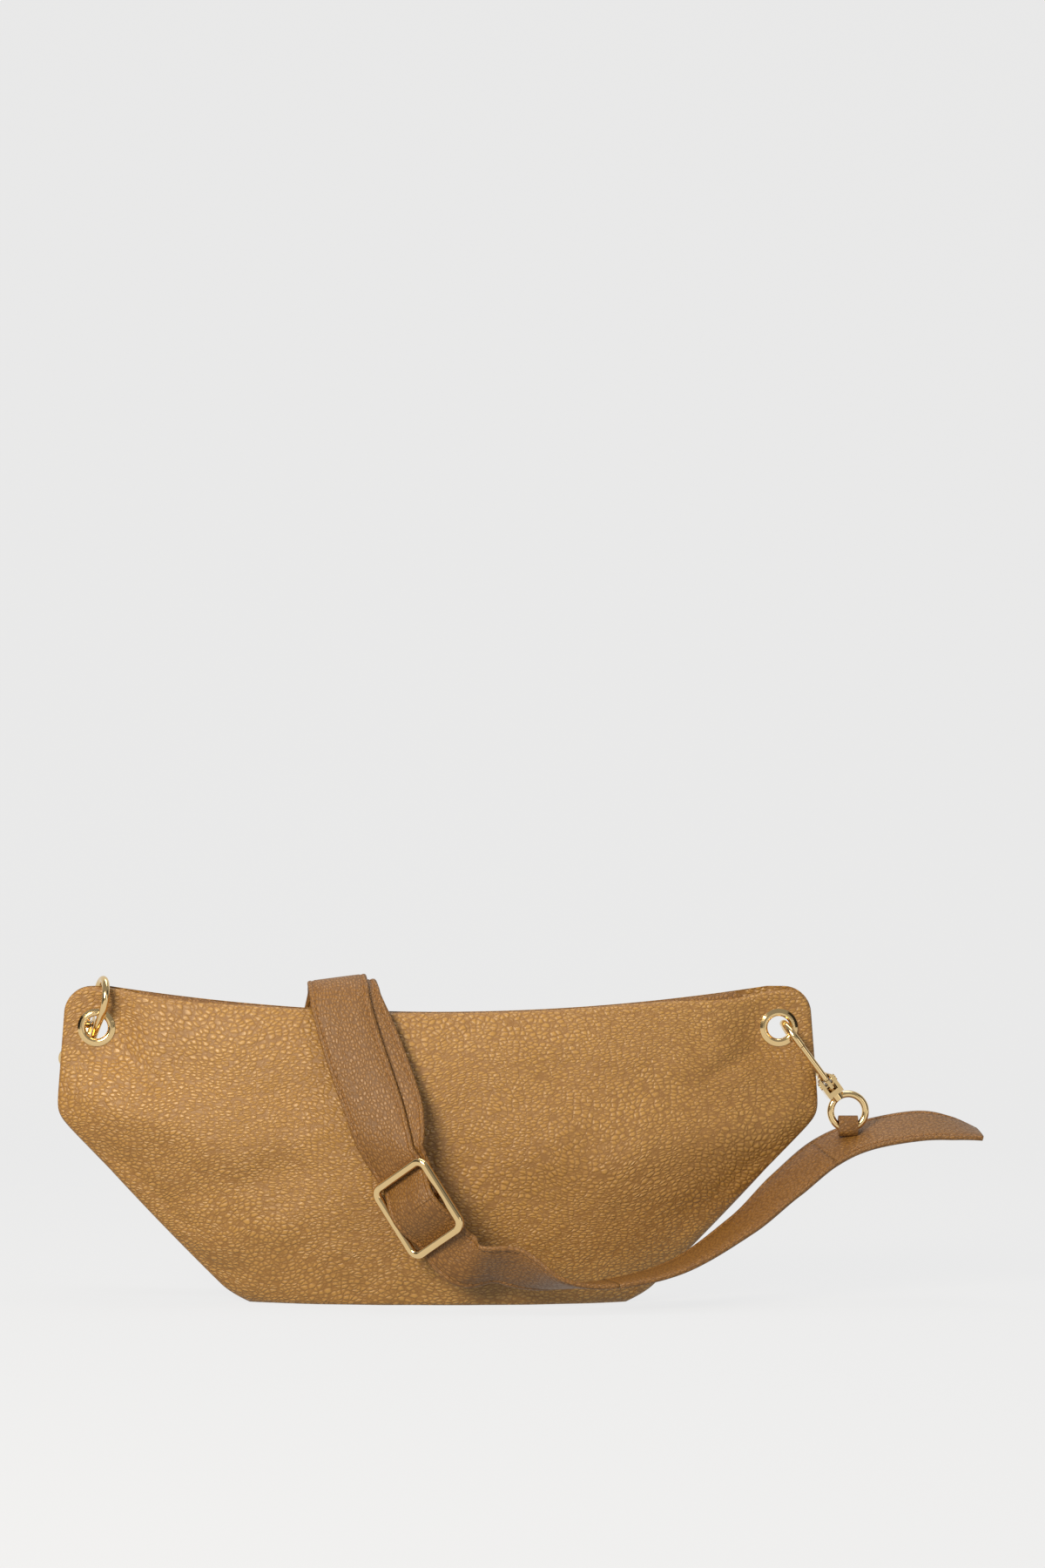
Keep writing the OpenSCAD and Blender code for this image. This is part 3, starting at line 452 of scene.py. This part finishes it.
def aboutX(p, a):
    c, s = math.cos(math.radians(a)), math.sin(math.radians(a))
    return (p[0], p[1] * c - p[2] * s, p[1] * s + p[2] * c)


def aboutY(p, a):
    c, s = math.cos(math.radians(a)), math.sin(math.radians(a))
    return (p[0] * c + p[2] * s, p[1], p[2] * c - p[0] * s)


def aboutZ(p, a):
    c, s = math.cos(math.radians(a)), math.sin(math.radians(a))
    return (p[0] * c - p[1] * s, p[0] * s + p[1] * c, p[2])


def plus(a, b):
    return tuple(i + j for i, j in zip(a, b))


strap = {"width": 28, "thick": 2.5, "seam": 2.5, "pitch": 3.3, "stitch": 2.5, "thread": 0.34, "steps": 12}
sliderFrame = {"pos": (-9, -42.5, 48), "lean": -37.4, "turn": -33, "pitch": -9, "long": 40, "bar": 3.8,
               "thick": 3.4, "gap": 0.4}
hookFrame = {"tilt": 44, "yaw": 18, "roll": 8, "reach": 19.4, "eyeZ": -51.625, "eyeR": 8.2}
tabFrame = {"lean": -24, "turn": -14, "roll": 22, "at": 45, "drop": 16, "loop": 9, "leg": 4.5, "endGap": 0.4,
            "bar": 1.6}


def sliderPlace(p):
    return aboutY(aboutZ(aboutX(p, sliderFrame["pitch"]), sliderFrame["turn"]), sliderFrame["lean"])


def sliderPoint(p):
    return plus(sliderFrame["pos"], sliderPlace(p))


def leftHookPoint(p):
    turned = aboutZ(plus(p, (0, -9, hookFrame["reach"])), 180)
    return plus((-body["eyeletX"], 0, body["eyeletZ"]),
                aboutY(aboutZ(aboutX(turned, hookFrame["tilt"]), hookFrame["yaw"]), hookFrame["roll"]))


def leftTabPlace(p):
    return aboutY(aboutZ(aboutX(p, tabFrame["roll"]), tabFrame["turn"]), tabFrame["lean"])


ringAngle = math.radians(tabFrame["at"])
leftTabPos = leftHookPoint((-hookFrame["eyeR"] * math.sin(ringAngle), 0,
                            hookFrame["eyeZ"] - hookFrame["eyeR"] * math.cos(ringAngle)))
under = sliderFrame["thick"] / 2 + 0.5 + strap["thick"] / 2
over = 1.6 - 1.3 - 0.6 - 1.4 - strap["thick"] / 2
half = sliderFrame["long"] / 2
window = half - sliderFrame["bar"]
across = sliderPlace((1, 0, 0))
loopAcross = leftTabPlace((1, 0, 0))
turnR = tabFrame["bar"] + 0.3 + strap["thick"] / 2
runEnd = -tabFrame["drop"] - tabFrame["loop"] - tabFrame["leg"] - tabFrame["endGap"]
apart = strap["thick"] + 0.4


def tabRun(z):
    return plus(leftTabPos, leftTabPlace((0, turnR, z)))


# Each station: centre, direction of the width, how far the inner layer lies aside, and the layers' distance
strapPath = [
    ((256, 0, 79.5), (0.05, -0.99, -0.1), 0, apart),
    ((243, 0, 82.5), (0.05, -0.94, -0.3), 0, apart),
    ((227, 0, 83.5), (0.03, -0.91, -0.4), 0, apart),
    ((201.5, -0.5, 79), (0.16, -0.91, -0.37), 0, apart),
    ((182.5, -3, 70.5), (0.27, -0.89, -0.36), 0, apart),
    ((164, -9, 56), (0.2, -0.9, -0.37), 0, apart),
    ((142.5, -18.5, 38), (0.1, -0.96, -0.26), 0, apart),
    ((112, -31, 20), (0.05, -1, -0.1), 0, apart),
    ((81, -39, 12.6), (0, -1, 0), 0, apart),
    ((56, -43.5, 13.2), (0.3, -0.93, 0.2), 0, apart),
    ((33.1, -43.3, 21.4), (0.79, -0.69, 0.51), 0, apart),
    ((16.5, -43.2, 21.9), (0.51, -0.41, 0.46), 0, apart),
    ((8, -41.9, 27), (0.8, -0.48, 0.52), 0, apart),
    (sliderPoint((0, under + 0.5, -half + 0.8)), across, 0, apart),
    (sliderPoint((0, under, -window + 1.4)), across, 0, apart),
    (sliderPoint((0, over + 1.2, -5.6)), across, 0, apart),
    (sliderPoint((0, over, 0)), across, 0, apart),
    (sliderPoint((0, over + 1.2, 5.6)), across, 0, apart),
    (sliderPoint((0, under, window - 1.4)), across, 0.5, apart),
    (sliderPoint((0, under, half - 0.8)), across, 2, apart),
    (sliderPoint((0, under, half + 6)), across, 4.5, apart),
    ((-25.5, -34.5, 81), (0.87, -0.33, 0.36), 7, apart),
    ((-29.8, -31, 94), (0.92, -0.15, 0.36), 8.5, apart),
    ((-39.5, -22.6, 122), (0.95, 0, 0.31), 8, apart),
    ((-45, -16, 140), (0.98, 0, 0.17), 6, apart),
    ((-46.5, -10, 148.6), (0.99, 0, 0.13), 5, apart),
    ((-47.5, 0, 152.3), (0.99, 0, 0.13), 4, apart),
    ((-47.5, 10, 148.6), (1, 0, 0.05), 3, apart),
    ((-48.5, 16, 140), (1, 0, 0), 2, apart),
    ((-55.5, 25, 114), (0.97, 0, -0.22), 1, apart),
    ((-67, 31.5, 84), (0.95, 0.1, -0.28), 0, apart),
    ((-78, 37, 60), (0.75, 0.6, -0.3), 0, apart),
    ((-92, 40.5, 46), (0.3, 0.95, -0.1), 0, apart),
    ((-109, 42, 44), (0, 1, 0), 0, apart),
    ((-128, 44, 55), (0.5, 0.82, 0.25), 0, apart),
    ((-144.3, 49.4, 68.7), (0.61, 0.52, 0.15), 0, apart + 1),
    (tabRun(runEnd - 10), loopAcross, 0, 2 * turnR),
    (tabRun(runEnd - 4), loopAcross, 0, 2 * turnR),
    (tabRun(runEnd), loopAcross, 0, 2 * turnR)]


def catmull(a, b, c, d, t):
    a, b, c, d = (np.array(k, float) for k in (a, b, c, d))
    return 0.5 * (2 * b + (c - a) * t + (2 * a - 5 * b + 4 * c - d) * t * t + (3 * b - a - 3 * c + d) * t ** 3)


def smoothRoute(path, steps):
    last = len(path) - 1
    route = []
    for i in range(last):
        for s in range(steps):
            near = [path[max(i - 1, 0)], path[i], path[min(i + 1, last)], path[min(i + 2, last)]]
            route.append([catmull(*[p[k] for p in near], s / steps) for k in range(4)])
    route.append([np.array(path[last][k], float) for k in range(4)])
    rings = []
    for i, point in enumerate(route):
        tangent = route[min(i + 1, len(route) - 1)][0] - route[max(i - 1, 0)][0]
        tangent = tangent / np.linalg.norm(tangent)
        side = point[1] - point[1].dot(tangent) * tangent
        side = side / np.linalg.norm(side)
        rings.append([point[0], side, np.cross(side, tangent), tangent, float(point[2]), float(point[3])])
    return rings


rings = smoothRoute(strapPath, strap["steps"])
steps = [np.linalg.norm(b[0] - a[0]) for a, b in zip(rings, rings[1:])]
lengths = np.concatenate([[0], np.cumsum(steps)])


def strapProfile():
    # Half the strap's outline in [across, outwards]: turned edges, a slight crown and a seam groove
    edge = strap["width"] / 2
    thick = strap["thick"] / 2
    seam = edge - strap["seam"]
    points = [(-edge, 0), (-edge + 0.12, 0.45 * thick), (-edge + 0.5, 0.84 * thick), (-edge + 1.3, 0.98 * thick)]
    points += [(-seam - 0.9, thick), (-seam - 0.4, thick - 0.25), (-seam, thick - 0.46), (-seam + 0.4, thick - 0.25),
               (-seam + 0.9, thick), (-5, thick + 0.04), (0, thick + 0.06)]
    upper = points + [(-a, b) for a, b in points[-2::-1]]
    lower = [(a, -b) for a, b in upper[-2:0:-1]]
    return upper + lower


profile = strapProfile()
sides = [math.dist(a, b) for a, b in zip(profile, profile[1:] + profile[:1])]
girth = np.concatenate([[0], np.cumsum(sides)])


def strapPiece(name, first, last, inner=False):
    low, high = int(first * strap["steps"]), int(last * strap["steps"])
    points, uvs = [], []
    for i in range(low, high + 1):
        centre, side, out, tangent, aside, gap = rings[i]
        if inner:
            centre = centre + side * aside - out * gap
        wave = 0.16 * noise.noise(Vector((lengths[i] / 26, 3.3 if inner else 1.1, 0.5)))
        for k, (a, b) in enumerate(profile):
            points.append(centre + side * (a + 2 * wave) + out * (b + wave * (a / 14) ** 2))
            uvs.append((lengths[i], girth[k]))
    count = len(profile)
    rowCount = high - low + 1
    faces = gridFaces(rowCount, count, wrap=True)
    faces.append(tuple(range(count)))
    faces.append(tuple((rowCount - 1) * count + k for k in range(count - 1, -1, -1)))
    piece = meshPiece(name, points, faces, beltLeather, uvs=uvs)
    work = bmesh.new()
    work.from_mesh(piece.data)
    bmesh.ops.recalc_face_normals(work, faces=work.faces)
    work.to_mesh(piece.data)
    work.free()
    for face in (piece.data.polygons[-1], piece.data.polygons[-2]):
        face.use_smooth = False
    return piece


# Stitches and zip teeth: one tree sets a small shape on every point

def repeatTree(name, kind):
    tree = bpy.data.node_groups.new(name, "GeometryNodeTree")
    for label, way, socket in (("Points", "INPUT", "NodeSocketGeometry"), ("Size", "INPUT", "NodeSocketVector"),
                               ("Finish", "INPUT", "NodeSocketMaterial"), ("Mesh", "OUTPUT", "NodeSocketGeometry")):
        tree.interface.new_socket(label, in_out=way, socket_type=socket)
    given = addNode(tree, "NodeGroupInput")
    if kind == "bead":
        shape = addNode(tree, "GeometryNodeMeshUVSphere", inputs={"Segments": 6, "Rings": 5, "Radius": 0.5})
    else:
        shape = addNode(tree, "GeometryNodeMeshCube", inputs={"Size": (1, 1, 1)})
    sized = addNode(tree, "GeometryNodeTransform",
                    inputs={"Geometry": shape.outputs["Mesh"], "Scale": given.outputs["Size"]})
    smooth = addNode(tree, "GeometryNodeSetShadeSmooth",
                     inputs={"Geometry": sized.outputs[0], "Shade Smooth": kind == "bead"})
    turn = addNode(tree, "GeometryNodeInputNamedAttribute", {"data_type": "FLOAT_VECTOR"}, {"Name": "turn"})
    copies = addNode(tree, "GeometryNodeInstanceOnPoints",
                     inputs={"Points": given.outputs["Points"], "Instance": smooth.outputs[0],
                             "Rotation": turn.outputs[0]})
    real = addNode(tree, "GeometryNodeRealizeInstances", inputs={"Geometry": copies.outputs[0]})
    painted = addNode(tree, "GeometryNodeSetMaterial",
                      inputs={"Geometry": real.outputs[0], "Material": given.outputs["Finish"]})
    addNode(tree, "NodeGroupOutput", inputs={"Mesh": painted.outputs[0]})
    return tree


stitchTree = repeatTree("stitchRow", "bead")
toothTree = repeatTree("zipToothRow", "block")


def repeated(name, tree, places, size, material):
    # places: [position in mm, 3x3 rotation]
    mesh = bpy.data.meshes.new(name)
    mesh.from_pydata([tuple(np.array(p) * mm) for p, _ in places], [], [])
    turns = mesh.attributes.new("turn", "FLOAT_VECTOR", "POINT")
    turns.data.foreach_set("vector", np.array([Matrix(r).to_euler() for _, r in places]).ravel())
    piece = bpy.data.objects.new(name, mesh)
    bpy.context.scene.collection.objects.link(piece)
    modifier = piece.modifiers.new(name, "NODES")
    modifier.node_group = tree
    names = {item.name: item.identifier for item in tree.interface.items_tree if item.in_out == "INPUT"}
    modifier[names["Size"]] = [s * mm for s in size]
    modifier[names["Finish"]] = material
    piece.update_tag()
    applied(piece)
    return piece


def stitchPiece(name, first, last, inner=False, faces=(1, -1)):
    low, high = int(first * strap["steps"]), int(last * strap["steps"])
    firstLine = math.ceil((lengths[low] + 1.2) / strap["pitch"])
    lines = np.arange(firstLine, math.floor((lengths[high] - 1.2) / strap["pitch"]) + 1)
    seam = strap["width"] / 2 - strap["seam"]
    places = []
    for step in lines:
        s = step * strap["pitch"]
        i = min(max(int(np.searchsorted(lengths, s)) - 1, low), high - 1)
        t = (s - lengths[i]) / (lengths[i + 1] - lengths[i])
        centre, side, out, tangent = (rings[i][k] * (1 - t) + rings[i + 1][k] * t for k in range(4))
        side, out, tangent = (w / np.linalg.norm(w) for w in (side, out, tangent))
        if inner:
            aside = rings[i][4] * (1 - t) + rings[i + 1][4] * t
            gap = rings[i][5] * (1 - t) + rings[i + 1][5] * t
            centre = centre + side * aside - out * gap
        for face in faces:
            for edge in (-1, 1):
                at = centre + side * edge * seam + out * face * (strap["thick"] / 2 - 0.3)
                turn = np.array([tangent, side * face, out * face]).T
                if np.linalg.det(turn) < 0:
                    turn[:, 1] *= -1
                places.append((at, turn.tolist()))
    return repeated(name, stitchTree, places, (strap["stitch"], strap["thread"] * 1.7, strap["thread"] * 1.5),
                    threadNylon)


sliderFoot, sliderHead = sliderPoint((0, 0, -24)), sliderPoint((0, 0, 26))
strapPieces = [
    # name, first and last station, inner layer, replaced node, body or blend
    ("strapTail", 0, 4, False, "strap_tail", "right_hook"),
    ("strapFreeHook", 4, 8, False, None, ("bag", "right_hook", (95, -35, 15), (172, -6, 64))),
    ("strapFreeSlider", 8, 16, False, "strap_free_run", ("strap_slider", "bag", sliderFoot, (66, -41, 13))),
    ("strapFrontOuter", 16, 26, False, "strap_outer_run", ("strap_slider", "bag", sliderHead, (-40, -22, 124))),
    ("strapFrontInner", 18, 26, True, "strap_inner_run", ("strap_slider", "bag", sliderHead, (-40, -22, 124))),
    ("strapBackOuter", 26, 38, False, None, ("bag", "left_hook", (-92, 40, 46), (-136, 43, 64))),
    ("strapBackInner", 26, 38, True, None, ("bag", "left_hook", (-92, 40, 46), (-136, 43, 64)))]

for name, first, last, inner, node, holder in strapPieces:
    belt = strapPiece(name, first, last, inner)
    seams = stitchPiece(name + "Stitches", first, last, inner)
    if node:
        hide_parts(node)
    for piece in (belt, seams):
        if isinstance(holder, str):
            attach(piece, holder)
        else:
            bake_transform(piece)
print("strap made")

softCopy("strap_end_loop", "strapEndTurn", tabLeather, "strap_slider")
softCopy("strap_loop_turn", "strapLoopTurn", tabLeather, "left_hook")
# Each tab is copied in leather with its placement baked into the mesh and is attached to no body
leftTab = softCopy("left_tab", "leftTabLeather", tabLeather, None)
rightTab = softCopy("right_tab", "rightTabLeather", tabLeather, None)
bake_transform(leftTab)
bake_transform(rightTab)


# Strap slider

def sweptRing(route, section):
    points = []
    for centre, normal, lift in route:
        for a, b in section:
            points.append(centre + normal * a + lift * b)
    faces = gridFaces(len(route), len(section), wrap=True)
    n = len(section)
    last = (len(route) - 1) * n
    faces += [(last + k, k, (k + 1) % n, last + (k + 1) % n) for k in range(n)]
    return points, faces


def roundedSection(width, height, corner, steps=5):
    out = []
    x, y = width / 2 - corner, height / 2 - corner
    for sx, sy, start in ((1, 1, 0), (-1, 1, 90), (-1, -1, 180), (1, -1, 270)):
        for s in range(steps + 1):
            a = math.radians(start + 90 * s / steps)
            out.append((sx * x + corner * math.cos(a), sy * y + corner * math.sin(a)))
    return out


def sliderPiece():
    bar, thick = sliderFrame["bar"], sliderFrame["thick"]
    w = strap["width"] + 2 * sliderFrame["gap"] + bar
    h = sliderFrame["long"] - bar
    corner = 4.2
    section = roundedSection(bar + 0.2, thick + 0.3, 1.65)
    route = []
    for sx, sz, start in ((1, 1, 0), (-1, 1, 90), (-1, -1, 180), (1, -1, 270)):
        for s in range(13):
            a = math.radians(start + 90 * s / 12)
            normal = np.array([math.cos(a), 0, math.sin(a)])
            centre = np.array([sx * (w / 2 - corner), 0, sz * (h / 2 - corner)]) + normal * corner
            route.append((centre, normal, np.array([0, 1, 0])))
    points, faces = sweptRing(route, section)
    n = len(points)
    rod = [(x, 1.6 + 1.3 * math.cos(a), 1.3 * math.sin(a)) for x in np.linspace(-w / 2, w / 2, 9)
           for a in np.linspace(0, 2 * math.pi, 24, endpoint=False)]
    faces += gridFaces(9, 24, n, wrap=True)
    placed = [sliderPoint(tuple(p)) for p in points + [np.array(r) for r in rod]]
    piece = outward(meshPiece("strapSliderFrame", placed, faces, gold))
    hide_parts("strap_slider")
    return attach(piece, "strap_slider")


sliderPiece()
print("strap slider made")


# Zip

zipSize = {"half": 128, "drop": 6, "pitch": 2.4, "tooth": (1.3, 2.3, 1.5)}
zipR = arcR + zipSize["drop"]
zipCentreZ = topMid + arcR
arcHalf = math.asin(zipSize["half"] / zipR)


def zipPoint(angle, y=0.0):
    return np.array([zipR * math.sin(angle), y, zipCentreZ - zipR * math.cos(angle)])


def zipTeeth(name, node, side):
    count = int(2 * zipSize["half"] / zipSize["pitch"])
    places = []
    for k in range(count):
        angle = -arcHalf + (k + (0.25 if side < 0 else 0.75)) * 2 * arcHalf / count
        turn = Matrix.Rotation(-angle, 3, "Y")
        places.append((zipPoint(angle, side * 0.85), [list(r) for r in turn]))
    piece = repeated(name, toothTree, places, zipSize["tooth"], zipGold)
    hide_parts(node)
    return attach(piece, "bag")


def zipTapePiece(name, node, side):
    points = []
    angles = np.linspace(-arcHalf, arcHalf, 120)
    for angle in angles:
        mid = zipPoint(angle)
        top = float(topZ(mid[0]))
        v = mid[2] / top
        u = mid[0] / float(halfWidth(np.array(v * body["endH"])))
        swell = float(belly(v)) * (1 - abs(u) ** 2.5) ** 0.9 * float(dimple(mid[0], mid[2]))
        edge = swell - 1.75
        for y, z in ((1.9, 0.3), (edge, 0.3), (edge, -0.3), (1.9, -0.3)):
            points.append((mid[0], side * y, mid[2] + z))
    end = 4 * (len(angles) - 1)
    faces = gridFaces(len(angles), 4, wrap=True) + [(0, 1, 2, 3), (end + 3, end + 2, end + 1, end)]
    piece = outward(meshPiece(name, points, faces, zipTape))
    piece.data.polygons.foreach_set("use_smooth", [False] * len(piece.data.polygons))
    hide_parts(node)
    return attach(piece, "bag")


for word, side in (("front", -1), ("back", 1)):
    zipTeeth(word + "ZipTeeth", word + "_zip_teeth", side)
    zipTapePiece(word + "ZipTape", word + "_zip_tape", side)
print("zip made")

finishes = {"gold_hardware": gold, "zip_metal": zipGold, "spring_steel": springSteel}
for entry in frame["record"]["subparts"]:
    node = nodes[entry["node"]]
    finish = finishes.get(entry["material_slot"])
    if finish and not node.hide_render:
        node.data.materials.clear()
        node.data.materials.append(finish)


# Studio

studio = {"floor": "#ECECEC", "field": 0.7407, "lens": 85, "tilt": 4.0, "aim": (0.0, 0.0, 0.075),
          "centre": (0.0401, 0.2453)}


def backdrop():
    flat = [(y, 0.0) for y in np.linspace(-3.0, 1.0, 5)]
    bend = [(1.0 + 1.2 * math.sin(a), 1.2 - 1.2 * math.cos(a)) for a in np.linspace(0.1, math.pi / 2, 14)]
    rise = [(2.2, 2.2), (2.2, 5.0)]
    line = flat + bend + rise
    points = [(x * 1000, y * 1000, z * 1000) for y, z in line for x in (-5, 5)]
    piece = meshPiece("studioPaper", points, gridFaces(len(line), 2, flip=True), None)
    piece.visible_diffuse = False
    material, tree = newMaterial("seamlessPaper")
    paper = addNode(tree, "ShaderNodeBsdfDiffuse", inputs={"Color": linear(studio["floor"])})
    glow = addNode(tree, "ShaderNodeEmission", inputs={"Color": linear(studio["floor"]), "Strength": 1.0})
    mix = addNode(tree, "ShaderNodeMixShader", inputs={0: 0.93, 1: paper.outputs[0], 2: glow.outputs[0]})
    closeMaterial(tree, mix)
    piece.data.materials.append(material)


def softbox(name, place, aim, size, power, colour="#FFFFFF"):
    light = bpy.data.lights.new(name, "AREA")
    light.shape = "RECTANGLE"
    light.size, light.size_y = size
    light.energy = power
    light.color = linear(colour)[:3]
    lamp = bpy.data.objects.new(name, light)
    bpy.context.scene.collection.objects.link(lamp)
    lamp.location = place
    lamp.rotation_euler = (Vector(aim) - Vector(place)).to_track_quat("-Z", "Y").to_euler()
    return lamp


def flag(name, place, aim, width, height):
    # Black card that gives the polished metal its dark edges
    card = bpy.data.meshes.new(name)
    card.from_pydata([(-width / 2, -height / 2, 0), (width / 2, -height / 2, 0), (width / 2, height / 2, 0),
                      (-width / 2, height / 2, 0)], [], [(0, 1, 2, 3)])
    piece = bpy.data.objects.new(name, card)
    bpy.context.scene.collection.objects.link(piece)
    turn = (Vector(aim) - Vector(place)).to_track_quat("Z", "Y").to_matrix().to_4x4()
    card.transform(Matrix.Translation(place) @ turn)
    card.materials.append(blackFlock)
    piece.visible_camera = False
    piece.visible_diffuse = False
    piece.visible_shadow = False


blackFlock = plainFinish("blackFlockCard", "#0A0A0A", 0.9)
backdrop()
softbox("keyLight", (-0.75, -1.3, 0.75), (0, 0, 0.07), (0.7, 0.6), 32, "#FFF4E0")
softbox("fillLight", (1.2, -1.4, 0.4), (0, 0, 0.07), (0.9, 0.7), 3)
softbox("topLight", (0.1, 0.1, 1.4), (0, 0, 0.07), (1.2, 0.4), 7)
flag("leftFlag", (-1.1, -0.5, 0.25), (0, 0, 0.1), 0.7, 0.9)
flag("rightFlag", (0.95, -0.55, 0.5), (0, 0, 0.1), 0.5, 0.9)
world = bpy.data.worlds.new("studioAir")
world.use_nodes = True
bpy.context.scene.world = world
world.node_tree.nodes["Background"].inputs["Color"].default_value = linear("#E8E8EA")
world.node_tree.nodes["Background"].inputs["Strength"].default_value = 0.42
bpy.context.scene.view_settings.view_transform = "Standard"

camera = bpy.data.cameras.new("studioCamera")
camera.lens = studio["lens"]
camera.sensor_width = 36
camera.clip_start = 0.05
distance = studio["field"] * camera.lens / camera.sensor_width
tilt = math.radians(studio["tilt"])
viewer = bpy.data.objects.new("studioCamera", camera)
bpy.context.scene.collection.objects.link(viewer)
viewer.location = (studio["aim"][0], -distance * math.cos(tilt), studio["aim"][2] + distance * math.sin(tilt))
viewer.rotation_euler = (math.pi / 2 - tilt, 0, 0)
camera.shift_x = (studio["centre"][0] - studio["aim"][0]) / studio["field"]
camera.shift_y = (studio["centre"][1] - studio["aim"][2]) * math.cos(tilt) / studio["field"]
bpy.context.scene.camera = viewer
print("studio made")

bpy.context.view_layer.update()
